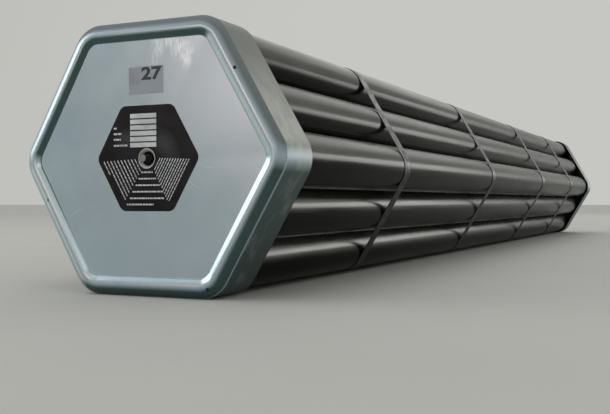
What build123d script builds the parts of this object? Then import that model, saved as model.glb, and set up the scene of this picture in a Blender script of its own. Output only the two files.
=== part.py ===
from build123d import *
import os
from math import asin, cos, degrees, radians, sin, sqrt, tan

# A bundle of steel pipes: a hexagonal stack with its flat side down, a pressed steel cap on each end, a tie
# rod through the middle pipe that holds the caps on, and steel straps round the stack. All sizes are in
# millimetres. +X runs along the pipes from the near cap to the far one, +Z is up, and the origin is the
# middle of the footprint.

# Pipes
pipe_diameter = 88.9
pipe_wall = 5.55
pipe_length = 3100.0
pipe_gap = 0.4  # between neighbours, so that no two touch
pipes_per_side = 3  # of the hexagon

# End caps, pressed from one sheet
cap_sheet = 2.0
cap_depth = 101.5  # from the panel's face to the skirt's edge
cap_clearance = 3.9  # between the outer pipes and the skirt
cap_end_gap = 0.9  # between the pipe ends and the panel
rim_height = 3.5  # of the crest over the panel
rim_radius = 18.0
rim_wall_angle = 25.0  # slope of the wall between the panel and the crest
rim_edge_angle = 67.2  # slope of the rim where it breaks into the skirt
rim_root_radius = 3.0
cup_bore = 24.0  # of the cup in the middle, which hides the nut
lip_width = 3.6  # of the raised ring round the cup
lip_height = 6.0
lip_bevel = 1.5

# Tie rod and nuts
rod_diameter = 12.0
rod_hole_gap = 0.5  # round the rod in the cup's floor
rod_stick_out = 18.0  # of each end past the panel's face
nut_across_flats = 18.0
nut_height = 10.8
nut_sink = 1.2  # from the panel's face to the nut
nut_thread_gap = 0.05

# Straps
strap_width = 32.0
strap_sheet = 0.9
strap_gap = 0.2  # between a strap and the crowns of the pipes
strap_places = (0.171, 0.402, 0.635, 0.832)  # along the pipes from the near end, as shares of their length
strap_overlap = 80.0  # length of the second layer, which the seal holds

# Seals, one folded round each strap's two layers
seal_length = 45.0
seal_sheet = 1.1
seal_gap = 0.1
seal_lip = 9.0  # how far each edge is folded under the strap

# Worked out from the sizes above
pipe_pitch = pipe_diameter + pipe_gap
row_pitch = pipe_pitch * sqrt(3) / 2
corner_reach = (pipes_per_side - 1) * pipe_pitch  # from the bundle's axis to a corner pipe's axis
side_distance = corner_reach * sqrt(3) / 2  # from the bundle's axis to an outer row of pipe axes
skirt_offset = pipe_diameter / 2 + cap_clearance + cap_sheet  # from that row to the skirt's outer face
axis_height = side_distance + skirt_offset
panel_x = -(pipe_length / 2 + cap_end_gap + cap_sheet)  # outer face of the near cap's panel
cup_depth = nut_sink + nut_height + cap_sheet  # from the panel's face to the back of the cup

section = Plane(origin=(0, 0, axis_height), x_dir=(0, 1, 0), z_dir=(1, 0, 0))
near_face = section.offset(panel_x)
radial = Plane(origin=(panel_x, 0, axis_height), x_dir=(0, 0, 1), z_dir=(0, -1, 0))
bundle_axis = Axis((0, 0, axis_height), (1, 0, 0))


def stack_outline(distance):
    """Draws a rounded hexagon that lies at a distance outside the lines between the corner pipes' axes."""
    RegularPolygon(radius=corner_reach, side_count=6)
    offset(amount=distance, kind=Kind.ARC)


def keep(part, name):
    part.label = name
    export_step(part, f"parts/{name}.step")


os.makedirs("parts", exist_ok=True)

# Pipes, row by row from the bottom
longest_row = 2 * pipes_per_side - 1
number = 0
for row in range(1 - pipes_per_side, pipes_per_side):
    in_row = longest_row - abs(row)
    for place in range(in_row):
        number += 1
        with BuildPart() as pipe:
            with BuildSketch(section.offset(-pipe_length / 2)):
                with Locations(((place - (in_row - 1) / 2) * pipe_pitch, row * row_pitch)):
                    Circle(pipe_diameter / 2)
                    Circle(pipe_diameter / 2 - pipe_wall, mode=Mode.SUBTRACT)
            extrude(amount=pipe_length)
        keep(pipe.part, f"pipe_{number:02d}")

# End caps. A sixth of the rim is a side and the corner next to it. Its section is drawn across the top side,
# in distances outwards from the pipe axes: the outside from the panel to the skirt's edge, then the inside.
crest_offset = skirt_offset - rim_radius * sin(radians(rim_edge_angle))
slope = radians(rim_wall_angle)
wall_rise = rim_height - (rim_radius + rim_root_radius) * (1 - cos(slope))
wall_run = wall_rise / tan(slope)
panel_offset = crest_offset - (rim_radius + rim_root_radius) * sin(slope) - wall_run

inside_bends = 4
bend = (rim_wall_angle + rim_edge_angle) / inside_bends
bend_reach = (rim_radius - cap_sheet) / cos(radians(bend / 2))
inside = []
for step in range(inside_bends):
    lean = radians(rim_edge_angle - (step + 0.5) * bend)
    inside.append((crest_offset + bend_reach * sin(lean), rim_height - rim_radius + bend_reach * cos(lean)))
skirt_inside = skirt_offset - cap_sheet
skirt_top = inside[0][1] - (skirt_inside - inside[0][0]) * tan(radians(rim_edge_angle))
wall_foot = inside[-1][0] - (inside[-1][1] + cap_sheet) / tan(slope)

side_plane = Plane(
    origin=(panel_x, corner_reach / 2, axis_height + side_distance), x_dir=(0, 0, 1), z_dir=(0, -1, 0)
)
with BuildPart() as rim_sixth:
    with BuildSketch(side_plane) as rim_section:
        with BuildLine():
            root = JernArc((panel_offset, 0), (1, 0), rim_root_radius, rim_wall_angle)
            wall = Line(root @ 1, root @ 1 + Vector(wall_run, wall_rise))
            rim = JernArc(wall @ 1, wall % 1, rim_radius, -rim_wall_angle - rim_edge_angle)
            Polyline(
                rim @ 1,
                (skirt_offset, -cap_depth),
                (skirt_inside, -cap_depth),
                (skirt_inside, skirt_top),
                *inside,
                (wall_foot, -cap_sheet),
                (0, -cap_sheet),
                (0, 0),
                (panel_offset, 0),
            )
        make_face()
    extrude(amount=corner_reach)
    revolve(rim_section.sketch, axis=Axis(side_plane.origin, (1, 0, 0)), revolution_arc=-60)

with BuildPart() as caps:
    for sixth in range(6):
        add(rim_sixth.part.rotate(bundle_axis, sixth * 60))
    with BuildSketch(near_face):
        RegularPolygon(radius=corner_reach, side_count=6)
        Circle((cup_bore + cap_sheet) / 2, mode=Mode.SUBTRACT)
    extrude(amount=cap_sheet)
    with BuildSketch(radial):
        with BuildLine():
            Polyline(
                (cup_bore / 2, cap_sheet - cup_depth),
                (cup_bore / 2, lip_height - lip_bevel),
                (cup_bore / 2 + lip_bevel, lip_height),
                (cup_bore / 2 + lip_width - lip_bevel, lip_height),
                (cup_bore / 2 + lip_width, lip_height - lip_bevel),
                (cup_bore / 2 + lip_width, -cap_sheet),
                (cup_bore / 2 + cap_sheet, -cap_sheet),
                (cup_bore / 2 + cap_sheet, -cup_depth),
                (rod_diameter / 2 + rod_hole_gap, -cup_depth),
                (rod_diameter / 2 + rod_hole_gap, cap_sheet - cup_depth),
                close=True,
            )
        make_face()
    revolve(axis=bundle_axis)
    mirror(about=Plane.YZ)
keep(caps.part, "end_caps")

# Tie rod and its nuts
rod_length = 2 * (rod_stick_out - panel_x)
with BuildPart() as rod:
    with BuildSketch(section.offset(-rod_length / 2)):
        Circle(rod_diameter / 2)
    extrude(amount=rod_length)
keep(rod.part, "tie_rod")

with BuildPart() as nuts:
    with BuildSketch(near_face.offset(nut_sink)):
        RegularPolygon(radius=nut_across_flats / 2, side_count=6, major_radius=False)
        Circle(rod_diameter / 2 + nut_thread_gap, mode=Mode.SUBTRACT)
    extrude(amount=nut_height)
    mirror(about=Plane.YZ)
keep(nuts.part, "rod_nuts")

# Straps, each a closed loop with a second layer under its seal, in a valley between two top pipes
strap_inside = pipe_diameter / 2 + strap_gap
strap_top = side_distance + strap_inside + strap_sheet  # from the bundle's axis to the loop's outer face
seal_place = pipe_pitch / 2
strap_middles = [(share - 0.5) * pipe_length for share in strap_places]
with BuildPart() as straps:
    for middle in strap_middles:
        with BuildSketch(section.offset(middle)):
            stack_outline(strap_inside + strap_sheet)
            offset(amount=-strap_sheet, mode=Mode.SUBTRACT)
        with BuildSketch(section.offset(middle)):
            with Locations((seal_place, strap_top)):
                Rectangle(strap_overlap, strap_sheet, align=(Align.CENTER, Align.MIN))
    extrude(amount=strap_width / 2, both=True)
keep(straps.part, "straps")

with BuildPart() as seals:
    for middle in strap_middles:
        seal_end = (middle, seal_place + seal_length / 2, axis_height + strap_top)
        with BuildSketch(Plane(origin=seal_end, x_dir=(1, 0, 0), z_dir=(0, -1, 0))):
            Rectangle(
                strap_width + 2 * (seal_gap + seal_sheet), 2 * (strap_sheet + seal_gap + seal_sheet)
            )
            Rectangle(strap_width + 2 * seal_gap, 2 * (strap_sheet + seal_gap), mode=Mode.SUBTRACT)
            with Locations((0, -strap_sheet - seal_gap)):
                Rectangle(
                    strap_width - 2 * seal_lip,
                    seal_sheet,
                    align=(Align.CENTER, Align.MAX),
                    mode=Mode.SUBTRACT,
                )
    extrude(amount=seal_length)
keep(seals.part, "strap_seals")
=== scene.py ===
"""The looks of a hexagonal bundle of steel pipes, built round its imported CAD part."""

import functools
import math
import random

import bmesh
import bpy
from mathutils import Matrix, Vector


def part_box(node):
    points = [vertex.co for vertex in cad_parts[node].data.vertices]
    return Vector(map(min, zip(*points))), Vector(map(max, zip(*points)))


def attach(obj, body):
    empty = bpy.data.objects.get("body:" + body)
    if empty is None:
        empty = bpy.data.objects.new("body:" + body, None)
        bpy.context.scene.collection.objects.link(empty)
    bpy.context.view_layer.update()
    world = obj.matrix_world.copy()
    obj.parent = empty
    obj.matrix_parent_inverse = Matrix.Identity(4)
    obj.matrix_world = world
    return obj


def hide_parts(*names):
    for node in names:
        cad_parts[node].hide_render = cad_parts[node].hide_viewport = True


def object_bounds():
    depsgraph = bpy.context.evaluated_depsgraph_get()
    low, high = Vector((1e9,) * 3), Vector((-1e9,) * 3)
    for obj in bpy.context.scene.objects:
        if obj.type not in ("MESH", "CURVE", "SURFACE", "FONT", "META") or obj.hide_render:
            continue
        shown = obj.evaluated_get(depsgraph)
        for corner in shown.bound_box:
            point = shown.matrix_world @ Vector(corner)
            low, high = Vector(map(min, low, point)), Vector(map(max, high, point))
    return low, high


bl_info = {
    "name": "Bundle of steel pipes",
    "version": (1, 0, 0),
    "blender": (4, 5, 0),
    "location": "View3D > Sidebar > Pipe bundle",
    "description": "Builds the finished surfaces of a strapped pipe bundle round its CAD frame",
    "category": "Object",
}

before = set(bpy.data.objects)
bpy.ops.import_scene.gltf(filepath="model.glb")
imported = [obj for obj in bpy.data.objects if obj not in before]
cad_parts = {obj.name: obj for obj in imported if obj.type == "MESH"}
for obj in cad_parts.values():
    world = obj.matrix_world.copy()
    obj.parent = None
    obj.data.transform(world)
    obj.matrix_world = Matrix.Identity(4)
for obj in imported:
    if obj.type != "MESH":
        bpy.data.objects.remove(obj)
CAD_LOW, CAD_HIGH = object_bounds()
MM = 0.001

# Places that the CAD gives
PIPES = sorted(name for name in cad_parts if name.startswith("pipe_"))
PIPE_BOXES = {name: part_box(name) for name in PIPES}
FIRST_LOW, FIRST_HIGH = PIPE_BOXES[PIPES[0]]
PIPE_RADIUS = (FIRST_HIGH.z - FIRST_LOW.z) / 2
PIPE_END = FIRST_HIGH.x
AXIS_HEIGHT = (CAD_LOW.z + CAD_HIGH.z) / 2
CORNER_REACH = 2 * (PIPE_BOXES["pipe_02"][1].y - PIPE_BOXES["pipe_01"][1].y)
SIDE_DISTANCE = CORNER_REACH * math.sqrt(3) / 2
SKIRT = CAD_HIGH.z - AXIS_HEIGHT - SIDE_DISTANCE

# The near panel's outer face lies in front of the pipes' ends by a gap and the cap's sheet
SHEET = 2 * MM
END_GAP = 8 * MM
PANEL_X = -(PIPE_END + END_GAP + SHEET)

# How far behind that face the nut's back lies, in millimetres
NUT_HEIGHT = 10.8
NUT_DEPTH = (-PANEL_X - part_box("rod_nuts")[1].x) / MM + NUT_HEIGHT

# A plane on the near cap's panel: x to the right and y up for someone who faces the panel, z out of it
PANEL = Matrix(((0, 0, -1, PANEL_X), (-1, 0, 0, 0), (0, 1, 0, AXIS_HEIGHT), (0, 0, 0, 1)))

# Slopes of the rim in degrees: its inner wall, and the edge where it breaks into the skirt
WALL_SLOPE, EDGE_SLOPE = 27, 67.2

# Straps, at shares of the pipes' length, with their seals in a valley between two top pipes
STRAP_PLACES = (0.171, 0.402, 0.635, 0.832)
STRAP_MIDDLES = [(share - 0.5) * 2 * PIPE_END for share in STRAP_PLACES]
STRAP_GAP = 0.2 * MM
SEAL_Y = CORNER_REACH / 4

# Seals: the outside lies this far off the band's edges and top, and this far below it. The corners are cut,
# and the lips reach under the band
SEAL_OFF, SEAL_BELOW, SEAL_CUT, SEAL_LIP = 1.15 * MM, 1.2 * MM, 0.8 * MM, 10 * MM
SEAL_STEPS = 18
CRIMPED_STEPS = (-4, 4)

# The near panel's marks, in millimetres right of and above its middle. Slopes are in radians, and positive
# where a mark falls to the right. Wipe marks and hand marks: the middle, half width and half height of an
# oval. Scratches: the left end, slope and length. Chips: right, up and out of the panel, and the reach
WIPE_MARKS = (((19, 160), 14, 26), ((39, 170), 36, 11), ((61, 156), 22, 17), ((71, 140), 9, 15))
WIPE_SLOPE = 0.25
HAND_MARKS = (((32, 20), 34, 20, 0.78), ((-37, 30), 22, 16, 0))
SCRATCHES = (((-144, -86), -0.46, 29), ((72, -35), 0.47, 23), ((-64, -105), 0.6, 8), ((100, -15), 0, 14))
CHIPS = (((151.2, 124.2, 3.8), 2.6), ((-182.8, -61.1, 4.5), 1.8), ((106.3, -189.8, 3.8), 2.7))

# Painted highlights on the rim's lower left side, one on top of its wall and one just past its crest: middle
# and half width along the section in millimetres, -1 for facing inwards or 1 for outwards, and the strength
BRIGHT_STREAKS = ((6.4, 2.8, -1, 0.6), (18.4, 1.8, 1, 1))

# The label, in millimetres right of, above and off the panel's middle, with its hole for the cup. Its fields
# lie one below another, a level rule has its left end and its length, and the print lies just over the film
LABEL_MIDDLE = (0.6, 0.4)
HOLE_RADIUS = 15.3
LIFT = 0.02
TOP_FIELD, FIELD_SIZE, FIELD_PITCH, FIELDS = (-6.2, 63.4), (46.6, 6.7), 8.62, 6
SIDE_RULES = ((-59.4, 46.0, 6.5), (-59.4, 37.6, 14), (-59.4, 29.2, 13), (-59.4, 20.2, 25))
LOWER_RULES = ((-9.6, -20.4, 20.3), (-14.3, -29.9, 30.9), (-19.7, -39.5, 42.7),
               (-25.7, -49.1, 54.5), (-30.1, -58.9, 60.8), (-35.8, -68.1, 47.7))
PRINT_LEVEL, PRINT_THICK = 0.05, 0.06

# The paper's middle, size and turn in degrees, and the lower left corner and size of its digits
PAPER_MIDDLE, PAPER_SIZE, PAPER_TURN = (-1.2, 115.9, 0.12), (61.2, 40.6, 0.2), 0.8
DIGITS_CORNER, DIGITS_SIZE = (-9.2, 115.6, 0.25), (36.5, 20)

# Soft boxes: the place, the point each faces, its width and height, its brightness against white, its tint
LAMPS = (
    ("left_window", (-2.75, 4.0, 1.7), (-1.2, 0, 0.2), 3.7, 1.8, 2.5, "#ffffff"),
    ("end_window", (6.0, 0.9, 3.4), (0.3, -0.1, 0.3), 4.4, 2.4, 0.7, "#ffffff"),
    ("low_window", (7.0, -4.1, 1.35), (0.3, -0.2, 0.2), 4.0, 1.3, 2.6, "#ffffff"),
    ("top_window", (-4.1, 1.8, 3.2), (-1.5, 0, 0.2), 1.8, 1.0, 0.7, "#ffffff"),
    ("front_screen", (-4.5, 1.28, 0.88), (-1.55, -0.15, 0.28), 0.9, 0.9, 1.35, "#ffd6cc"),
    ("crest_screen", (-5.4, -0.1, 1.15), (-1.55, -0.12, 0.3), 0.9, 0.7, 1.0, "#f0f2ff"),
)

# The camera's place in metres and its turn in degrees, as fitted to the photograph
CAMERA_PLACE = (-2.6546, -0.7710, 0.1412)
CAMERA_TURN = (89.6375, 0.0887, -64.8976)


# Colours and materials


def linear(text):
    """Turns an sRGB hex colour into linear red, green, blue and alpha."""
    parts = [int(text[i:i + 2], 16) / 255 for i in (1, 3, 5)]
    return (*[c / 12.92 if c <= 0.04045 else ((c + 0.055) / 1.055) ** 2.4 for c in parts], 1.0)


def node(material, kind, inputs=None, output=0, **settings):
    """Adds a shader node with its settings, sets or links its inputs, and returns one of its outputs."""
    made = material.node_tree.nodes.new(f"ShaderNode{kind}")
    for name, value in settings.items():
        setattr(made, name, value)
    for name, value in (inputs or {}).items():
        if isinstance(value, bpy.types.NodeSocket):
            material.node_tree.links.new(value, made.inputs[name])
        else:
            made.inputs[name].default_value = value
    return made.outputs[output] if made.outputs else None


def start_material(name):
    """Makes an empty material and returns it, what adds nodes to it, and its Object coordinates."""
    material = bpy.data.materials.new(name)
    material.use_nodes = True
    material.node_tree.nodes.clear()
    add = functools.partial(node, material)
    return material, add, add("TexCoord", output="Object")


def grain(add, place, size, stretch=(1, 1, 1), detail=3.0, rough=0.5, turn=(0, 0, 0)):
    """A noise whose grains have a real size in metres, times a stretch along each axis."""
    scale = [1 / (size * s) for s in stretch]
    scaled = add("Mapping", {"Vector": place, "Rotation": turn, "Scale": scale}, vector_type="POINT")
    return add("TexNoise", {"Vector": scaled, "Scale": 1.0, "Detail": detail, "Roughness": rough}, "Fac")


def facing(add, axis):
    """How far the surface faces along an axis, from -1 to 1."""
    return add("SeparateXYZ", {"Vector": add("NewGeometry", output="Normal")}, axis)


def on_panel(x, y):
    """A point of the near panel, in millimetres right of and above its middle."""
    return PANEL @ Vector((x * MM, y * MM, 0))


def off_oval(add, place, middle, turn, wide, tall):
    """How far a point lies from the middle of a turned oval on the near panel, where its edge is at 1."""
    local = add("Mapping", {
        "Vector": place, "Location": on_panel(*middle), "Rotation": (turn, 0, 0),
        "Scale": (1, wide * MM, tall * MM)}, vector_type="TEXTURE")
    return add("VectorMath", {0: local}, "Value", operation="LENGTH")


def hair_scratch(add, place, start, turn, run):
    """One along a hair scratch on the near panel, from its left end on at a slope, and zero beside it."""
    local = add("Mapping", {
        "Vector": place, "Location": on_panel(*start), "Rotation": (turn, 0, 0)}, vector_type="TEXTURE")
    parts = add("SeparateXYZ", {"Vector": local}).node.outputs
    along = add("Math", {0: parts["Y"], 1: -run * MM / 2, 2: run * MM / 2}, operation="COMPARE")
    shaky = add("Math", {0: grain(add, place, 9 * MM), 1: 1.2 * MM, 2: -0.6 * MM}, operation="MULTIPLY_ADD")
    # A real scratch is too fine to show, so this one is 0.9 mm wide
    across = add("Math", {0: parts["Z"], 1: shaky, 2: 0.45 * MM}, operation="COMPARE")
    near = add("Math", {0: parts["X"], 1: 0.0, 2: 10 * MM}, operation="COMPARE")
    scratch = add("Math", {0: along, 1: across}, operation="MULTIPLY")
    return add("Math", {0: near, 1: scratch}, operation="MULTIPLY")


def ragged_chip(add, place, spot, reach):
    """One inside a ragged spot round a point, and zero outside it."""
    ragged = 0.6
    away = add("VectorMath", {0: place, 1: spot}, "Value", operation="DISTANCE")
    wander = grain(add, place, reach * 0.6, detail=2.0)
    edge = add("Math", {
        0: wander, 1: -2 * ragged * reach, 2: reach * (1 + ragged)}, operation="MULTIPLY_ADD")
    return add("Math", {0: away, 1: edge}, operation="LESS_THAN")


def mill_scale(looks):
    """Hot-rolled pipe steel in oiled mill scale: near black and slick below, with a film of dust in the oil
    on all that faces up and cloudy dust on the crowns, both painted lighter to stand for light on the upper
    halves; faint drawn streaks and a little brown rust."""
    material, add, place = start_material("Oiled mill scale")
    streak = grain(add, place, 4 * MM, (60, 1, 1), 2.0)
    cloud = grain(add, place, 45 * MM, (5, 1, 1), 4.0, 0.55)
    streaky = add("MapRange", {"Value": streak, "From Min": 0.5, "From Max": 0.75, "To Max": 0.5})
    rusty = add("MapRange", {"Value": cloud, "From Min": 0.45, "From Max": 0.6})
    rusty = add("Math", {0: streaky, 1: rusty}, operation="MULTIPLY")
    # All that faces up is painted lighter: a film of dust in the oil, and painted light on the upper halves
    up = add("Math", {0: streak, 1: 0.12, 2: facing(add, "Z")}, operation="MULTIPLY_ADD")
    film_and_painted_light = add("Math", {0: cloud, 1: 0.3, 2: up}, operation="MULTIPLY_ADD")
    film_and_painted_light = add("MapRange", {"Value": film_and_painted_light, "From Min": 0.1, "From Max": 0.4})
    # The crowns are lighter still: cloudy dust, and painted light
    dusty = add("Math", {0: cloud, 1: 0.9, 2: up}, operation="MULTIPLY_ADD")
    dusty = add("MapRange", {"Value": dusty, "From Min": 0.8, "From Max": 1.7})
    colour = linear(looks.scale)
    for share, over in ((rusty, looks.rust), (film_and_painted_light, looks.film), (dusty, looks.dust)):
        colour = add("Mix", {0: share, 6: colour, 7: linear(over)}, 2, data_type="RGBA")
    slick = add("MapRange", {"Value": cloud, "From Min": 0.35, "From Max": 0.7})
    slick = add("Math", {0: slick, 1: 0.08, 2: 0.18}, operation="MULTIPLY_ADD")
    add("OutputMaterial", {"Surface": add("BsdfPrincipled", {
        "Base Color": colour,
        "Metallic": add("Math", {0: dusty, 1: -0.4, 2: 0.9}, operation="MULTIPLY_ADD"),
        "Roughness": add("Math", {0: dusty, 1: 0.1, 2: slick}, operation="MULTIPLY_ADD"),
        "Specular IOR Level": 0.3, "Specular Tint": (0.62, 0.62, 0.62, 1),
        "Normal": add("Bump", {
            "Height": grain(add, place, 60 * MM, (6, 1, 1), 1.0),
            "Strength": 1.0, "Distance": 0.2 * MM})})})
    return material


def mark_panel(add, place, looks, colour):
    """Lays pale streaks that a wet cloth left, and hair scratches, over the near panel's colour."""
    streaky = grain(add, place, 5 * MM, (1, 0.8, 3), 4.0, 0.6, (0.6, 0, 0))
    streaky = add("MapRange", {"Value": streaky, "From Min": 0.35, "From Max": 0.6})
    shares = []
    for middle, wide, tall in WIPE_MARKS:
        away = off_oval(add, place, middle, WIPE_SLOPE, wide, tall)
        inside = add("MapRange", {
            "Value": away, "From Min": 0.3, "From Max": 1.1, "To Min": 0.8, "To Max": 0})
        shares.append(add("Math", {0: inside, 1: streaky}, operation="MULTIPLY"))
    for start, turn, run in SCRATCHES:
        scratch = hair_scratch(add, place, start, turn, run)
        shares.append(add("Math", {0: scratch, 1: 0.35}, operation="MULTIPLY"))
    for share in shares:
        colour = add("Mix", {0: share, 6: colour, 7: linear(looks.wiped)}, 2, data_type="RGBA")
    return colour


def painted_highlights(add, run, wall, left, up):
    """Painted highlights on the rim, standing for reflections: its wall on the upper right, and two streaks
    on the lower left.
    """
    sideways = add("MapRange", {"Value": left, "From Min": 0.15, "From Max": 0.3})
    downwards = add("MapRange", {"Value": up, "From Min": 0, "From Max": -0.1, "To Max": 0.6})
    rubbed = add("Math", {0: sideways, 1: downwards}, operation="MULTIPLY")
    rubbed = add("Math", {0: rubbed, 1: wall}, operation="MULTIPLY")
    for middle, half, out, strength in BRIGHT_STREAKS:
        streak = add("Math", {0: run, 1: middle * MM, 2: half * MM}, operation="COMPARE")
        sideways = add("MapRange", {"Value": left, "From Min": 0.03 * out, "From Max": 0.12 * out})
        downwards = add("MapRange", {
            "Value": up, "From Min": -0.02 * out, "From Max": -0.06 * out, "To Max": strength})
        streak = add("Math", {0: streak, 1: sideways}, operation="MULTIPLY")
        streak = add("Math", {0: streak, 1: downwards}, operation="MULTIPLY")
        rubbed = add("Math", {0: rubbed, 1: streak}, operation="MAXIMUM")
    return rubbed


def painted_shade_parts(add, run, wall, left, cloud, high):
    """Where the colour is darkened as painted shade: in the lee of the rim and skirt, and in a line in the
    root round the panel.
    """
    # The lee is where the cap faces down, or down and to the right, from 0 in the open to 1, and there the
    # shade is painted
    sides = add("VectorMath", {0: add("NewGeometry", output="Normal"), 1: (0, 1, 1)}, operation="MULTIPLY")
    sides = add("VectorMath", {0: sides}, operation="NORMALIZE")
    lee = add("VectorMath", {0: sides, 1: (0, 0.35, 1)}, "Value", operation="DOT_PRODUCT")
    lee = add("Math", {0: cloud, 1: 0.2, 2: lee}, operation="MULTIPLY_ADD")
    lee = add("MapRange", {"Value": lee, "From Min": -0.3, "From Max": -0.65})
    # The wall and all from the crest outwards take the painted shade, and the crease less of it, which
    # leaves a painted highlight along the crease
    reach = add("MapRange", {"Value": run, "From Min": 14.5 * MM, "From Max": 21 * MM})
    reach = add("Math", {0: wall, 1: reach}, operation="MAXIMUM")
    crease = add("Math", {0: run, 1: 35 * MM, 2: 1.7 * MM}, operation="COMPARE")
    crease = add("Math", {0: crease, 1: -0.7, 2: 1}, operation="MULTIPLY_ADD")
    painted_shade = add("Math", {0: lee, 1: reach}, operation="MULTIPLY")
    painted_shade = add("Math", {0: painted_shade, 1: crease}, operation="MULTIPLY")
    # A painted shade line lies in the root round the panel, strongest in the upper part of the lower left
    # side
    root = add("Math", {0: run, 1: 1.6 * MM, 2: 1 * MM}, operation="COMPARE")
    inwards = add("MapRange", {"Value": left, "From Min": -0.03, "From Max": -0.12})
    upper = add("MapRange", {"Value": high, "From Min": 60 * MM, "From Max": 150 * MM})
    deep = add("Math", {0: inwards, 1: upper}, operation="MULTIPLY")
    deep = add("Math", {0: deep, 1: 0.6, 2: 0.3}, operation="MULTIPLY_ADD")
    root = add("Math", {0: root, 1: deep}, operation="MULTIPLY")
    painted_shade = add("Math", {0: painted_shade, 1: root}, operation="MAXIMUM")
    return add("Math", {0: painted_shade, 1: 0.93}, operation="MULTIPLY")


def dusty_parts(add, place, skirt, up):
    """Where dust is brushed over the skirt: the more the skirt faces up, in smears and blots."""
    for size, stretch, detail, rough, low, high, share in (
            (10 * MM, (0.25, 2.5, 2.5), 5.0, 0.65, 0.3, 0.7, 0.15),
            (30 * MM, (0.6, 1.2, 1.2), 4.0, 0.65, 0.3, 0.7, 0.5),
            (70 * MM, (1, 1, 1), 2.0, 0.5, 0.35, 0.65, 0.5)):
        patch = grain(add, place, size, stretch, detail, rough)
        patch = add("MapRange", {"Value": patch, "From Min": low, "From Max": high})
        up = add("Math", {0: patch, 1: share, 2: up}, operation="MULTIPLY_ADD")
    dusty = add("MapRange", {"Value": up, "From Min": 0.2, "From Max": 1.5, "To Min": 0.03, "To Max": 0.95})
    return add("Math", {0: skirt, 1: dusty}, operation="MULTIPLY")


def cap_enamel(looks):
    """Metallic blue-grey enamel on pressed steel: satin and faintly clouded, with wipe marks and hair
    scratches on the panel, painted highlights and painted shade on the rim and skirt, a dull film on the
    rim, and dust on the skirt's upper sides."""
    material, add, place = start_material("Metallic enamel")
    parts = add("SeparateXYZ", {"Vector": place}).node.outputs
    left, up = facing(add, "Y"), facing(add, "Z")
    cloud = grain(add, place, 80 * MM, (1, 1, 1), 4.0, 0.6)
    clouded = add("MapRange", {"Value": cloud, "From Min": 0.3, "From Max": 0.7})
    colour = add("Mix", {
        0: clouded, 6: linear(looks.enamel), 7: linear(looks.enamel_light)}, 2, data_type="RGBA")
    colour = mark_panel(add, place, looks, colour)
    # The cap's section runs from the panel's edge over the root, the wall from 1.7 mm, the crest at 15 mm
    # and the crease at 36 mm to the skirt
    run = add("Attribute", output="Fac", attribute_name="profile")
    foot = add("MapRange", {"Value": run, "From Min": 0.3 * MM, "From Max": 1.5 * MM})
    wall = add("MapRange", {"Value": run, "From Min": 14 * MM, "From Max": 10 * MM})
    wall = add("Math", {0: foot, 1: wall}, operation="MULTIPLY")
    skirt = add("MapRange", {"Value": run, "From Min": 35 * MM, "From Max": 38 * MM})
    # Painted highlights on the rim's upper right wall and lower left side
    rubbed = painted_highlights(add, run, wall, left, up)
    painted_shade = painted_shade_parts(add, run, wall, left, cloud, parts["Z"])
    # A dull film and painted shade darken the rim's rounding where it faces up
    dull_and_shaded = add("MapRange", {"Value": run, "From Min": 8 * MM, "From Max": 24 * MM})
    upwards = add("MapRange", {"Value": up, "From Min": 0, "From Max": 0.3})
    dull_and_shaded = add("Math", {0: dull_and_shaded, 1: upwards}, operation="MULTIPLY")
    film_and_painted_light = add("Math", {0: dull_and_shaded, 1: 0.8}, operation="MULTIPLY")
    # Lays on the painted highlights, the painted shade, and the dull film with its painted shade
    for share, over in ((rubbed, looks.rubbed), (painted_shade, looks.painted_shade_tone), (film_and_painted_light, looks.dull_and_shaded)):
        colour = add("Mix", {0: share, 6: colour, 7: linear(over)}, 2, data_type="RGBA")
    # The dust is paler lower down
    dusty = dusty_parts(add, place, skirt, up)
    lower = add("MapRange", {"Value": parts["Z"], "From Min": 0.36, "From Max": 0.24})
    dust = add("Mix", {0: lower, 6: linear(looks.dust), 7: linear(looks.dust_light)}, 2, data_type="RGBA")
    colour = add("Mix", {0: dusty, 6: colour, 7: dust}, 2, data_type="RGBA")
    # The chips go down to the dark primer, and the insides and the cut edges take the same dark colour
    primer_and_insides = [ragged_chip(add, place, on_panel(right, high) - Vector((out * MM, 0, 0)), reach * MM)
              for (right, high, out), reach in CHIPS]
    inwards = add("Math", {0: parts["X"], 1: facing(add, "X")}, operation="MULTIPLY")
    primer_and_insides.append(add("MapRange", {"Value": inwards, "From Min": -0.5, "From Max": -1.2, "To Max": 0.9}))
    for share in primer_and_insides:
        colour = add("Mix", {0: share, 6: colour, 7: linear(looks.chip)}, 2, data_type="RGBA")
    satin = add("Math", {0: clouded, 1: 0.05, 2: 0.2}, operation="MULTIPLY_ADD")
    matt = add("Math", {0: skirt, 1: dull_and_shaded}, operation="MAXIMUM")
    add("OutputMaterial", {"Surface": add("BsdfPrincipled", {
        "Base Color": colour,
        "Metallic": add("Math", {0: dusty, 1: -0.5, 2: 0.85}, operation="MULTIPLY_ADD"),
        "Roughness": add("Math", {0: matt, 1: 0.25, 2: satin}, operation="MULTIPLY_ADD"),
        "Normal": add("Bump", {
            "Height": grain(add, place, 60 * MM, detail=0.0), "Strength": 1.0, "Distance": 0.05 * MM})})})
    return material


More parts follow.
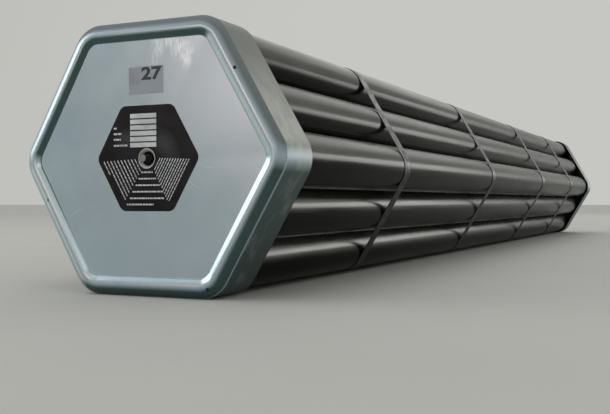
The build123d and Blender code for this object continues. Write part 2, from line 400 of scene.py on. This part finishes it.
def worn_steel(name, bare, dark, shine, grain_size):
    """Plated or blued steel handled in a store: soft stains, a fine drawn grain, and painted shade where it
    faces down.
    """
    material, add, place = start_material(name)
    stain = grain(add, place, 14 * MM, (1, 1, 1), 4.0, 0.6)
    stained = add("MapRange", {"Value": stain, "From Min": 0.35, "From Max": 0.7})
    # Painted shade: darker where the surface faces down
    shaded_below = add("MapRange", {"Value": facing(add, "Z"), "From Min": 0.3, "From Max": -0.3, "To Max": 0.95})
    colour = linear(bare)
    for share, over in ((stained, dark), (shaded_below, "#1c1d1e")):
        colour = add("Mix", {0: share, 6: colour, 7: linear(over)}, 2, data_type="RGBA")
    add("OutputMaterial", {"Surface": add("BsdfPrincipled", {
        "Base Color": colour, "Metallic": 0.9,
        "Roughness": add("Math", {0: stain, 1: 0.2, 2: shine}, operation="MULTIPLY_ADD"),
        "Normal": add("Bump", {
            "Height": grain(add, place, grain_size, (1, 6, 1)), "Strength": 1.0, "Distance": 0.02 * MM})})})
    return material


def deep_shaded_steel(name, bare, dark, change, shine, metallic):
    """Steel that is bright outside, and darker past a depth behind the panel's face: painted shade deep in
    the cup and along the rod's thread.
    """
    material, add, place = start_material(name)
    stain = grain(add, place, 6 * MM, (1, 1, 1), 4.0, 0.6)
    inside = add("Math", {0: add("SeparateXYZ", {"Vector": place}, "X")}, operation="ABSOLUTE")
    inside = add("Math", {0: -PANEL_X, 1: inside}, operation="SUBTRACT")
    # Past the depth the colour is painted shade
    edge = add("Math", {0: stain, 1: 0.6 * MM, 2: inside}, operation="MULTIPLY_ADD")
    shaded_deep = add("MapRange", {"Value": edge, "From Min": change, "From Max": change + 0.5 * MM})
    stained = add("MapRange", {"Value": stain, "From Min": 0.3, "From Max": 0.75, "To Max": 0.3})
    colour = linear(bare)
    for share in (stained, shaded_deep):
        colour = add("Mix", {0: share, 6: colour, 7: linear(dark)}, 2, data_type="RGBA")
    add("OutputMaterial", {"Surface": add("BsdfPrincipled", {
        "Base Color": colour, "Metallic": metallic,
        "Roughness": add("Math", {0: shaded_deep, 1: 0.25, 2: shine}, operation="MULTIPLY_ADD")})})
    return material


def printed_film(name, tone, smudge, rough, grain_size, gloss=0.5, marks=()):
    """Printed polyester film or paper: an even tone with the faint smears that hands leave."""
    material, add, place = start_material(name)
    smear = grain(add, place, 45 * MM, (1, 1, 0.6), 3.0, 0.55)
    smeared = add("MapRange", {"Value": smear, "From Min": 0.42, "From Max": 0.75})
    colour = add("Mix", {0: smeared, 6: linear(tone), 7: linear(smudge)}, 2, data_type="RGBA")
    for middle, wide, tall, turn in marks:
        away = off_oval(add, place, middle, turn, wide, tall)
        away = add("Math", {0: smear, 1: 0.9, 2: away}, operation="MULTIPLY_ADD")
        inside = add("MapRange", {
            "Value": away, "From Min": 0.5, "From Max": 1.5, "To Min": 0.45, "To Max": 0})
        colour = add("Mix", {0: inside, 6: colour, 7: linear("#5a595e")}, 2, data_type="RGBA")
    add("OutputMaterial", {"Surface": add("BsdfPrincipled", {
        "Base Color": colour, "Specular IOR Level": gloss,
        "Roughness": add("Math", {0: smear, 1: 0.2, 2: rough}, operation="MULTIPLY_ADD"),
        "Normal": add("Bump", {
            "Height": grain(add, place, grain_size, detail=2.0),
            "Strength": 1.0, "Distance": 0.01 * MM})})})
    return material


def painted_floor(looks):
    """Pale painted screed, matt, with the soft mottle of a rolled coat."""
    material, add, place = start_material("Painted screed")
    mottle = grain(add, place, 400 * MM, detail=4.0)
    colour = add("Mix", {
        0: mottle, 6: linear(looks.floor), 7: linear(looks.floor_shade)}, 2, data_type="RGBA")
    add("OutputMaterial", {"Surface": add("BsdfPrincipled", {"Base Color": colour, "Roughness": 0.75})})
    return material


# Meshes


def make_piece(name, bm, material, replaced=(), smooth=32, sheet=0.0, bevel=0.0):
    """Turns a bmesh into a piece that rides on the bundle, with an inward thickness and a bevel if set."""
    mesh = bpy.data.meshes.new(name)
    bm.to_mesh(mesh)
    bm.free()
    mesh.materials.append(material)
    mesh.polygons.foreach_set("use_smooth", [True] * len(mesh.polygons))
    mesh.set_sharp_from_angle(angle=math.radians(smooth))
    piece = bpy.data.objects.new(name, mesh)
    bpy.context.scene.collection.objects.link(piece)
    if sheet:
        solid = piece.modifiers.new("Sheet", "SOLIDIFY")
        solid.thickness, solid.offset, solid.use_even_offset = sheet, -1.0, True
    if bevel:
        edge = piece.modifiers.new("Edges", "BEVEL")
        edge.width, edge.segments, edge.limit_method = bevel, 3, "ANGLE"
        edge.angle_limit, edge.harden_normals = math.radians(18), True
    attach(piece, "root")
    if replaced:
        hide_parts(*replaced)
    return piece


def extend(bm, vert, step):
    """Draws a line on from a vertex and returns its end."""
    end = bmesh.ops.extrude_vert_indiv(bm, verts=[vert])["verts"][0]
    end.co = vert.co + Vector(step)
    return end


def turn_on(bm, vert, centre, axis, degrees, steps):
    """Draws an arc on from a vertex and returns its end."""
    made = bmesh.ops.spin(bm, geom=[vert], cent=centre, axis=axis, angle=math.radians(degrees), steps=steps)
    return [v for v in made["geom_last"] if isinstance(v, bmesh.types.BMVert)][0]


def draw_section(bm, x, y, z, points, closed=True):
    """Draws a section of points, each with its distance along the bundle and above it from a place."""
    first = last = bm.verts.new((x + points[0][0], y, z + points[0][1]))
    for (along, above), (next_along, next_above) in zip(points, points[1:]):
        last = extend(bm, last, (next_along - along, 0, next_above - above))
    if closed:
        bm.edges.new((last, first))


def draw_ring(bm, points, closed=True):
    """Draws a section in millimetres from the bundle's axis outwards and from the near panel out of it."""
    draw_section(bm, PANEL_X, 0, AXIS_HEIGHT, [(-out * MM, away * MM) for away, out in points], closed)


def spin_round(bm, height=AXIS_HEIGHT, across=0.0, steps=64):
    """Turns everything drawn so far once round a line along the bundle and closes the seam."""
    line = bm.verts[:] + bm.edges[:]
    bmesh.ops.spin(bm, geom=line, cent=(0, across, height), axis=(1, 0, 0),
                   angle=math.tau, steps=steps, use_merge=True)
    bmesh.ops.remove_doubles(bm, verts=bm.verts, dist=0.01 * MM)
    bmesh.ops.recalc_face_normals(bm, faces=bm.faces)


def carry_on(bm, line, step):
    """Carries a line of edges on by a step, and returns its end: the edges, and then their vertices."""
    made = bmesh.ops.extrude_edge_only(bm, edges=line)["geom"]
    moved = [g for g in made if isinstance(g, bmesh.types.BMVert)]
    bmesh.ops.translate(bm, vec=step, verts=moved)
    ends = set(moved)
    return [g for g in made if isinstance(g, bmesh.types.BMEdge) and ends.issuperset(g.verts)], moved


def carry_round_stack(bm, steps):
    """Carries a line drawn over the stack's upper left corner round its six sides and corners."""
    line = bm.edges[:]
    for side in range(6):
        turned = Matrix.Rotation(side * math.tau / 6, 4, "X")
        line, moved = carry_on(bm, line, turned @ Vector((0, -CORNER_REACH, 0)))
        corner = Vector((0, 0, AXIS_HEIGHT)) + turned @ Vector((0, -CORNER_REACH / 2, SIDE_DISTANCE))
        made = bmesh.ops.spin(bm, geom=line + moved, cent=corner, axis=(1, 0, 0),
                              angle=math.tau / 6, steps=steps)["geom_last"]
        line = [g for g in made if isinstance(g, bmesh.types.BMEdge)]
    bmesh.ops.remove_doubles(bm, verts=bm.verts, dist=0.01 * MM)


def far_copy(bm):
    """A mirror image at the far end."""
    copy = bm.copy()
    bmesh.ops.scale(copy, vec=(-1, 1, 1), verts=copy.verts)
    bmesh.ops.reverse_faces(copy, faces=copy.faces)
    return copy


def box_at(bm, middle, size, turn=0.0):
    """Adds a box with its middle, size and turn on the near panel, in millimetres."""
    at = PANEL @ Matrix.Translation(Vector(middle) * MM) @ Matrix.Rotation(turn, 4, "Z")
    bmesh.ops.create_cube(bm, size=1.0, matrix=at @ Matrix.Diagonal((*[s * MM for s in size], 1)))


def plate_rules():
    """The label's broken rules, each with its start, its direction, its length and its height."""
    slant = math.radians(60)
    rules = [(x, y, 0, run, 2.6) for x, y, run in SIDE_RULES]
    # Slanted rules: a short one and then ever shorter ones on the left, and ever longer ones on the right
    rules += [(-77.8 + 6.28 * i, -3.5 + 0.3 * i, -slant, 66.5 - 5.7 * (i - 1) if i else 23, 1.5)
              for i in range(10)]
    rules += [(23.8 + 4.57 * i, 0.3 - 0.22 * i, math.pi + slant, min(21 + 4.75 * i, 70), 1.4)
              for i in range(12)]
    return rules + [(x, y, 0, run, 2.2) for x, y, run in LOWER_RULES]


def broken_rule(bm, draw, x, y, turn, run, height, level):
    """Adds a rule broken into flat dashes, which stand in for words, on a level over the panel."""
    done = 0.0
    while done < run - 1:
        dash = min(draw.uniform(2.0, 7.5), run - done)
        along = done + dash / 2
        middle = (x + along * math.cos(turn), y + along * math.sin(turn), level)
        box_at(bm, middle, (dash, height, PRINT_THICK), turn)
        done += dash + draw.uniform(0.7, 1.3)


# Settings


def length(name, description, default):
    """A length setting in metres."""
    return bpy.props.FloatProperty(name=name, description=description, default=default, unit="LENGTH")


def colour(name, description, default):
    """A colour setting, written as an sRGB hex value."""
    return bpy.props.StringProperty(name=name, description=description, default=default)


class PipeSettings(bpy.types.PropertyGroup):
    wall: length("Wall", "Thickness of each pipe's wall", 5.55 * MM)
    chamfer: length("Chamfer", "Width of the chamfer on each pipe's ends", 1.2 * MM)
    scale: colour("Mill scale", "Colour of the dark oiled scale", "#141413")
    # This colour is a film of dust in the oil and painted light on all that faces up
    film: colour("Film", "Colour of the film of dust and oil on all that faces up", "#63625f")
    rust: colour("Rust", "Colour of the brown streaks along the pipes", "#45382c")
    # This colour is dust and painted light on the crowns
    dust: colour("Dust", "Colour of the dust on top of the pipes", "#74736e")


class CapSettings(bpy.types.PropertyGroup):
    rim_height: length("Rim height", "Height of the rim's crest over the panel", 4.5 * MM)
    rim_radius: length("Rim radius", "Radius of the rim's rounding", 18 * MM)
    root_radius: length("Root radius", "Radius at the foot of the rim's inner wall", 3.5 * MM)
    depth: length("Depth", "From the panel's face to the skirt's edge", 89 * MM)
    cup_bore: length("Cup bore", "Inner diameter of the cup in the middle", 24 * MM)
    enamel: colour("Enamel", "Main colour of the metallic enamel", "#b2c4cf")
    enamel_light: colour("Light enamel", "Colour of the lighter clouds in the enamel", "#b8cad3")
    wiped: colour("Wipe marks", "Colour of the streaks and hair scratches on the panel", "#e3f3fb")
    dust: colour("Dust", "Colour of the dust at the top of the skirt", "#76776e")
    dust_light: colour("Light dust", "Colour of the dust lower on the skirt", "#d0d1c8")
    # This colour is a painted highlight on the rim's upper right wall and lower left streaks
    rubbed: colour("Rubbed wall", "Colour of the rim's inner wall where it is rubbed bright", "#d5e5e4")
    # This colour is a dull film and painted shade on the rim's upward rounding
    dull_and_shaded: colour("Dull film", "Colour of the dull film on the rim's upper sides", "#5c5f5b")
    # This colour is painted shade in the lee of the rim and skirt and in the root round the panel
    painted_shade_tone: colour("Grime", "Colour of the grime on the rim and skirt", "#36504d")
    chip: colour("Chip", "Colour of the primer in the chips", "#2e3232")


class RodSettings(bpy.types.PropertyGroup):
    stick_out: length("Stick-out", "Length of the rod's ends past the panels", 10.9 * MM)


class LabelSettings(bpy.types.PropertyGroup):
    reach: length("Reach", "From the label's middle to its corners", 90.6 * MM)
    corner: length("Corner", "How far the label's corners are cut back", 7 * MM)
    film: length("Film", "Thickness of the label's film", 0.35 * MM)
    black: colour("Black", "Colour of the label's film", "#0a0a0d")
    white: colour("White", "Colour of the fields and rules", "#d4d8db")
    grey: colour("Grey", "Colour of the number's paper", "#9ba3ad")
    digits: bpy.props.StringProperty(name="Number", description="Plain store number", default="27")
    ink: colour("Ink", "Colour of the number", "#2e2f35")


class StrapSettings(bpy.types.PropertyGroup):
    width: length("Width", "Width of the steel strapping", 32 * MM)
    sheet: length("Thickness", "Thickness of the steel strapping", 0.9 * MM)
    overlap: length("Overlap", "Length of the second layer under the seal", 80 * MM)
    seal_length: length("Seal length", "Length of the crimped seals", 45 * MM)
    steel: colour("Strapping", "Colour of the strapping", "#85888a")
    seal: colour("Seal", "Colour of the plated seals", "#8c8e8e")


class StageSettings(bpy.types.PropertyGroup):
    floor: colour("Floor", "Colour of the floor", "#c3c2bd")
    floor_shade: colour("Floor mottle", "Darker tone of the floor", "#bab9b4")
    wall: colour("Walls", "Colour of the studio round the bundle", "#afb0aa")
    far_wall: colour("Far wall", "Colour of the studio beyond the bundle", "#c6c7c2")
    ceiling: colour("Ceiling", "Colour of the studio above the bundle", "#f4f6f8")
    lens: bpy.props.FloatProperty(name="Lens", description="Focal length for a 36 mm frame",
                                  default=52.61, subtype="DISTANCE_CAMERA")


# Pieces


class BuildPipes(bpy.types.Operator):
    """Build the pipes as round tubes with chamfered ends"""
    bl_idname = "pipe_bundle.pipes"
    bl_label = "Pipes"

    def execute(self, context):
        looks = context.scene.bundle_pipes
        steel = mill_scale(looks)
        outer, inner, cut = PIPE_RADIUS, PIPE_RADIUS - looks.wall, looks.chamfer
        for name, (low, high) in PIPE_BOXES.items():
            middle = (low + high) / 2
            bm = bmesh.new()
            draw_section(bm, 0, middle.y, middle.z, [
                (PIPE_END, inner), (PIPE_END, outer - cut), (PIPE_END - cut, outer),
                (cut - PIPE_END, outer), (-PIPE_END, outer - cut), (-PIPE_END, inner)])
            spin_round(bm, middle.z, middle.y, 96)
            make_piece(f"{name}_tube", bm, steel, [name])
        return {"FINISHED"}


class BuildCaps(bpy.types.Operator):
    """Build the pressed caps with their rolled rims, and the cup in the middle of each"""
    bl_idname = "pipe_bundle.caps"
    bl_label = "End caps"

    def execute(self, context):
        looks = context.scene.bundle_caps
        enamel = cap_enamel(looks)
        slope, edge = math.radians(WALL_SLOPE), math.radians(EDGE_SLOPE)
        crest = SKIRT - looks.rim_radius * math.sin(edge)
        radii = looks.rim_radius + looks.root_radius
        rise = looks.rim_height - radii * (1 - math.cos(slope))
        foot = crest - radii * math.sin(slope) - rise / math.tan(slope)

        bm = bmesh.new()
        start = Vector((PANEL_X, CORNER_REACH / 2, AXIS_HEIGHT + SIDE_DISTANCE))
        last = bm.verts.new(start + Vector((0, 0, foot)))
        last = turn_on(bm, last, start + Vector((-looks.root_radius, 0, foot)), (0, -1, 0), WALL_SLOPE, 5)
        last = extend(bm, last, (-rise, 0, rise / math.tan(slope)))
        centre = start + Vector((looks.rim_radius - looks.rim_height, 0, crest))
        last = turn_on(bm, last, centre, (0, 1, 0), WALL_SLOPE + EDGE_SLOPE, 17)
        extend(bm, last, (PANEL_X + looks.depth - last.co.x, 0, 0))
        # How far along the section each point lies from the panel's edge, for the painted shade, the painted
        # highlights and the dust
        profile = bm.verts.layers.float.new("profile")
        line = bm.verts[:]
        for before, after in zip(line, line[1:]):
            after[profile] = before[profile] + (after.co - before.co).length
        carry_round_stack(bm, 14)
        inside = [e for e in bm.edges if e.is_boundary and abs(e.verts[0].co.x - PANEL_X) < 0.1 * MM
                  and abs(e.verts[1].co.x - PANEL_X) < 0.1 * MM]
        hole = bmesh.ops.create_circle(
            bm, segments=48, radius=looks.cup_bore / 2 + 1 * MM, matrix=PANEL)["verts"]
        ring = {e for v in hole for e in v.link_edges}
        bmesh.ops.triangle_fill(bm, use_beauty=True, edges=inside + list(ring), normal=(-1, 0, 0))
        bmesh.ops.recalc_face_normals(bm, faces=bm.faces)
        if sum(f.normal.x for f in bm.faces if f.calc_center_median().x < PANEL_X + 0.01 * MM) > 0:
            bmesh.ops.reverse_faces(bm, faces=bm.faces)
        for name, shape in (("far_cap_shell", far_copy(bm)), ("near_cap_shell", bm)):
            make_piece(name, shape, enamel, ["end_caps"], sheet=SHEET, bevel=0.7 * MM)

        # The cup's steel is painted dark deep in its bore, as shade
        rubbed = deep_shaded_steel("Rubbed steel", "#d6d4cf", "#151716", 4.4 * MM, 0.3, 0.3)
        bm = bmesh.new()
        bore, hole = looks.cup_bore / 2 / MM, 6.5
        mouth, floor = bore + 2.4, NUT_DEPTH + 0.1
        back = floor + SHEET / MM
        # From the floor up the bore, over the dished mouth, down the back and round the rod's hole
        draw_ring(bm, [
            (bore - 1.4, 0.7 - floor), (bore - 1.4, -4.6), (bore - 1.3, -3.7), (bore - 0.9, -2.8),
            (mouth - 1.6, -1.1), (mouth - 0.8, -0.5), (mouth - 0.3, 0.1), (mouth, 0.5), (mouth + 0.4, 0.5),
            (mouth + 0.7, 0.1), (mouth + 0.7, -1.9), (mouth + 0.3, -1.9), (bore + 0.7, -4.6),
            (bore + 0.6, -5.4), (bore + 0.6, -back), (hole, -back), (hole, -floor), (bore - 2.1, -floor)])
        spin_round(bm)
        for name, shape in (("far_cup", far_copy(bm)), ("near_cup", bm)):
            make_piece(name, shape, rubbed, ["end_caps"], smooth=50)
        return {"FINISHED"}


class BuildTieRod(bpy.types.Operator):
    """Build the tie rod with its threaded ends, and dress the nuts"""
    bl_idname = "pipe_bundle.tie_rod"
    bl_label = "Tie rod and nuts"

    def execute(self, context):
        looks = context.scene.bundle_rod
        # The rod is painted dark past its tip, as shade on its thread
        plated = deep_shaded_steel("Zinc plated rod", "#8f9089", "#24231f", 0.6 * MM - looks.stick_out, 0.35, 0.7)
        bm = bmesh.new()
        # The thread of a 12 mm rod, drawn as rings at its pitch of 1.75 mm behind a small chamfer
        end, pitch, turns, crest, root = looks.stick_out / MM, 1.75, 20, 6.0, 5.1
        thread = [(0.01, end), (4.9, end), (5.2, end - 0.3)]
        for turn in range(turns):
            top = end - 0.5 - turn * pitch
            thread += [(crest, top - 0.5 * pitch), (root, top - 0.95 * pitch)]
        thread += [(crest, end - 0.5 - turns * pitch), (crest, PANEL_X / MM)]
        draw_ring(bm, thread, closed=False)
        spin_round(bm, steps=40)
        mirrored = far_copy(bm)
        whole = bpy.data.meshes.new("rod_half")
        mirrored.to_mesh(whole)
        mirrored.free()
        bm.from_mesh(whole)
        bpy.data.meshes.remove(whole)
        bmesh.ops.remove_doubles(bm, verts=bm.verts, dist=0.02 * MM)
        bmesh.ops.recalc_face_normals(bm, faces=bm.faces)
        make_piece("tie_rod_threaded", bm, plated, ["tie_rod"])
        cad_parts["rod_nuts"].data.materials.clear()
        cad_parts["rod_nuts"].data.materials.append(
            worn_steel("Blackened nut", "#2a2b2b", "#191919", 0.35, 0.8 * MM))
        return {"FINISHED"}


class BuildLabels(bpy.types.Operator):
    """Build the hexagonal label with its blank fields and rules, and the paper with a number"""
    bl_idname = "pipe_bundle.labels"
    bl_label = "Labels"

    def execute(self, context):
        looks = context.scene.bundle_labels
        lift = Matrix.Translation((0, 0, LIFT * MM))
        middle = PANEL @ Matrix.Translation(Vector((*LABEL_MIDDLE, LIFT)) * MM)
        bm = bmesh.new()
        corners = bmesh.ops.create_circle(
            bm, cap_ends=True, segments=6, radius=looks.reach,
            matrix=middle @ Matrix.Rotation(math.radians(30), 4, "Z"))["verts"]
        bmesh.ops.bevel(bm, geom=corners, offset=looks.corner, segments=6, profile=0.5,
                        affect="VERTICES", material=-1)
        bmesh.ops.delete(bm, geom=bm.faces[:], context="FACES_KEEP_BOUNDARY")
        bmesh.ops.create_circle(bm, segments=48, radius=HOLE_RADIUS * MM, matrix=PANEL @ lift)
        bmesh.ops.triangle_fill(bm, use_beauty=True, edges=bm.edges[:], normal=(-1, 0, 0))
        upper = bmesh.ops.extrude_face_region(bm, geom=bm.faces[:], use_keep_orig=True)["geom"]
        raised = [g for g in upper if isinstance(g, bmesh.types.BMVert)]
        bmesh.ops.translate(bm, vec=(-looks.film, 0, 0), verts=raised)
        bmesh.ops.recalc_face_normals(bm, faces=bm.faces)
        make_piece("name_plate", bm, printed_film(
            "Black polyester film", looks.black, "#1f1f24", 0.22, 2 * MM, 0.2, HAND_MARKS))

        bm = bmesh.new()
        level = looks.film / MM + PRINT_LEVEL
        right, high = TOP_FIELD
        for field in range(FIELDS):
            box_at(bm, (right, high - FIELD_PITCH * field, level), (*FIELD_SIZE, PRINT_THICK))
        draw = random.Random(5)
        for rule in plate_rules():
            broken_rule(bm, draw, *rule, level)
        make_piece("plate_print", bm, printed_film("White print", looks.white, "#a9acb0", 0.5, 1 * MM))

        bm = bmesh.new()
        box_at(bm, PAPER_MIDDLE, PAPER_SIZE, math.radians(PAPER_TURN))
        make_piece("number_paper", bm, printed_film(
            "Grey coated paper", looks.grey, "#8c919a", 0.5, 1.5 * MM), bevel=0.05 * MM)
        text = bpy.data.curves.new("number", "FONT")
        text.body, text.size, text.offset, text.extrude = looks.digits, 30 * MM, 1.1 * MM, 0.03 * MM
        holder = bpy.data.objects.new("number", text)
        context.scene.collection.objects.link(holder)
        context.view_layer.update()
        digits = bpy.data.meshes.new_from_object(holder.evaluated_get(context.evaluated_depsgraph_get()))
        bpy.data.objects.remove(holder)
        bm = bmesh.new()
        bm.from_mesh(digits)
        bmesh.ops.remove_doubles(bm, verts=bm.verts, dist=0.01 * MM)
        left, right = min(v.co.x for v in bm.verts), max(v.co.x for v in bm.verts)
        low, high = min(v.co.y for v in bm.verts), max(v.co.y for v in bm.verts)
        wide, tall = DIGITS_SIZE
        fit = Matrix.Diagonal((wide * MM / (right - left), tall * MM / (high - low), 1, 1))
        place = PANEL @ Matrix.Translation(Vector(DIGITS_CORNER) * MM)
        bmesh.ops.transform(bm, matrix=place @ fit @ Matrix.Translation((-left, -low, 0)), verts=bm.verts)
        make_piece("number_print", bm, printed_film("Dark print", looks.ink, "#3b3c42", 0.45, 1 * MM))
        return {"FINISHED"}


class BuildStraps(bpy.types.Operator):
    """Build the steel straps round the stack, each with a second layer and a crimped seal"""
    bl_idname = "pipe_bundle.straps"
    bl_label = "Straps and seals"

    def execute(self, context):
        looks = context.scene.bundle_straps
        blued = worn_steel("Blued strapping", looks.steel, "#2d2e30", 0.3, 1.2 * MM)
        plated = worn_steel("Plated seal", looks.seal, "#5e605f", 0.3, 1.2 * MM)
        inside = PIPE_RADIUS + STRAP_GAP
        for number, middle in enumerate(STRAP_MIDDLES, 1):
            bm = bmesh.new()
            corner = AXIS_HEIGHT + SIDE_DISTANCE + inside
            half, top = looks.width / 2, corner + looks.sheet
            draw_section(bm, middle, CORNER_REACH / 2, corner, [
                (-half, 0), (half, 0), (half, looks.sheet), (-half, looks.sheet)])
            carry_round_stack(bm, 12)
            second = Matrix.Translation((middle, SEAL_Y, top + looks.sheet / 2))
            size = Matrix.Diagonal((looks.width, looks.overlap, looks.sheet, 1))
            bmesh.ops.create_cube(bm, size=1.0, matrix=second @ size)
            bmesh.ops.recalc_face_normals(bm, faces=bm.faces)
            make_piece(f"strap_{number}_band", bm, blued, ["straps"], bevel=0.2 * MM)

            bm = bmesh.new()
            half += SEAL_OFF
            low, high = -looks.sheet - SEAL_BELOW, looks.sheet + SEAL_OFF
            draw_section(bm, middle, SEAL_Y - looks.seal_length / 2, top, [
                (SEAL_LIP - half, low), (SEAL_CUT - half, low), (-half, low + SEAL_CUT),
                (-half, high - SEAL_CUT), (SEAL_CUT - half, high), (half - SEAL_CUT, high),
                (half, high - SEAL_CUT), (half, low + SEAL_CUT), (half - SEAL_CUT, low),
                (half - SEAL_LIP, low)], closed=False)
            line = bm.edges[:]
            for step in range(SEAL_STEPS):
                line = carry_on(bm, line, (0, looks.seal_length / SEAL_STEPS, 0))[0]
            crimps = [v for v in bm.verts
                      if round(SEAL_STEPS * (v.co.y - SEAL_Y) / looks.seal_length) in CRIMPED_STEPS]
            bmesh.ops.scale(bm, vec=(0.93, 1, 1), space=Matrix.Translation((-middle, 0, 0)), verts=crimps)
            bmesh.ops.recalc_face_normals(bm, faces=bm.faces)
            make_piece(f"strap_{number}_seal", bm, plated, ["strap_seals"], sheet=1.0 * MM)
        return {"FINISHED"}


class BuildStage(bpy.types.Operator):
    """Set up the floor, the studio light and the camera"""
    bl_idname = "pipe_bundle.stage"
    bl_label = "Floor, light and camera"

    def execute(self, context):
        looks = context.scene.bundle_stage
        scene = context.scene
        bm = bmesh.new()
        bmesh.ops.create_grid(bm, x_segments=8, y_segments=8, size=30)
        mesh = bpy.data.meshes.new("floor")
        bm.to_mesh(mesh)
        bm.free()
        mesh.materials.append(painted_floor(looks))
        floor = bpy.data.objects.new("floor", mesh)
        scene.collection.objects.link(floor)

        world = bpy.data.worlds.new("Pale studio")
        world.use_nodes = True
        world.node_tree.nodes.clear()
        add = functools.partial(node, world)
        sky = add("SeparateXYZ", {"Vector": add("TexCoord", output="Generated")}).node.outputs
        ahead = add("MapRange", {"Value": sky["X"], "From Min": 0.3, "From Max": 0.9})
        above = add("MapRange", {"Value": sky["Z"], "From Min": 0.4, "From Max": 1.0})
        tone = linear(looks.wall)
        for share, over in ((ahead, looks.far_wall), (above, looks.ceiling)):
            tone = add("Mix", {0: share, 6: tone, 7: linear(over)}, 2, data_type="RGBA")
        add("OutputWorld", {"Surface": add("Background", {"Color": tone, "Strength": 1.0})})
        scene.world = world

        for name, place, aim, width, height, bright, tint in LAMPS:
            lamp = bpy.data.lights.new(name, "AREA")
            lamp.shape, lamp.size, lamp.size_y = "RECTANGLE", width, height
            lamp.energy, lamp.color = bright * math.pi * width * height, linear(tint)[:3]
            holder = bpy.data.objects.new(name, lamp)
            holder.location = place
            holder.rotation_euler = (Vector(aim) - Vector(place)).to_track_quat("-Z", "Y").to_euler()
            holder.visible_camera = False
            scene.collection.objects.link(holder)

        camera = bpy.data.cameras.new("camera")
        camera.lens, camera.sensor_width, camera.clip_end = looks.lens, 36.0, 200
        holder = bpy.data.objects.new("camera", camera)
        holder.location = CAMERA_PLACE
        holder.rotation_euler = [math.radians(a) for a in CAMERA_TURN]
        scene.collection.objects.link(holder)
        scene.camera = holder
        scene.view_settings.view_transform = "Standard"
        return {"FINISHED"}


BUILDERS = (BuildPipes, BuildCaps, BuildTieRod, BuildLabels, BuildStraps, BuildStage)
SETTINGS = {"bundle_pipes": PipeSettings, "bundle_caps": CapSettings, "bundle_rod": RodSettings,
            "bundle_labels": LabelSettings, "bundle_straps": StrapSettings, "bundle_stage": StageSettings}


class BundlePanel(bpy.types.Panel):
    """Lists the settings and the pieces of the bundle"""
    bl_idname = "VIEW3D_PT_pipe_bundle"
    bl_label = "Pipe bundle"
    bl_space_type = "VIEW_3D"
    bl_region_type = "UI"
    bl_category = "Pipe bundle"

    def draw(self, context):
        for builder in BUILDERS:
            self.layout.operator(builder.bl_idname)
        for name, group in SETTINGS.items():
            box = self.layout.box()
            for prop in group.__annotations__:
                box.prop(getattr(context.scene, name), prop)


def register():
    for group in (*SETTINGS.values(), *BUILDERS, BundlePanel):
        bpy.utils.register_class(group)
    for name, group in SETTINGS.items():
        setattr(bpy.types.Scene, name, bpy.props.PointerProperty(type=group))


def unregister():
    for name in SETTINGS:
        delattr(bpy.types.Scene, name)
    for group in (BundlePanel, *reversed(BUILDERS), *reversed(SETTINGS.values())):
        bpy.utils.unregister_class(group)


def main():
    register()
    for builder in BUILDERS:
        group, name = builder.bl_idname.split(".")
        getattr(getattr(bpy.ops, group), name)()


if __name__ == "__main__":
    main()
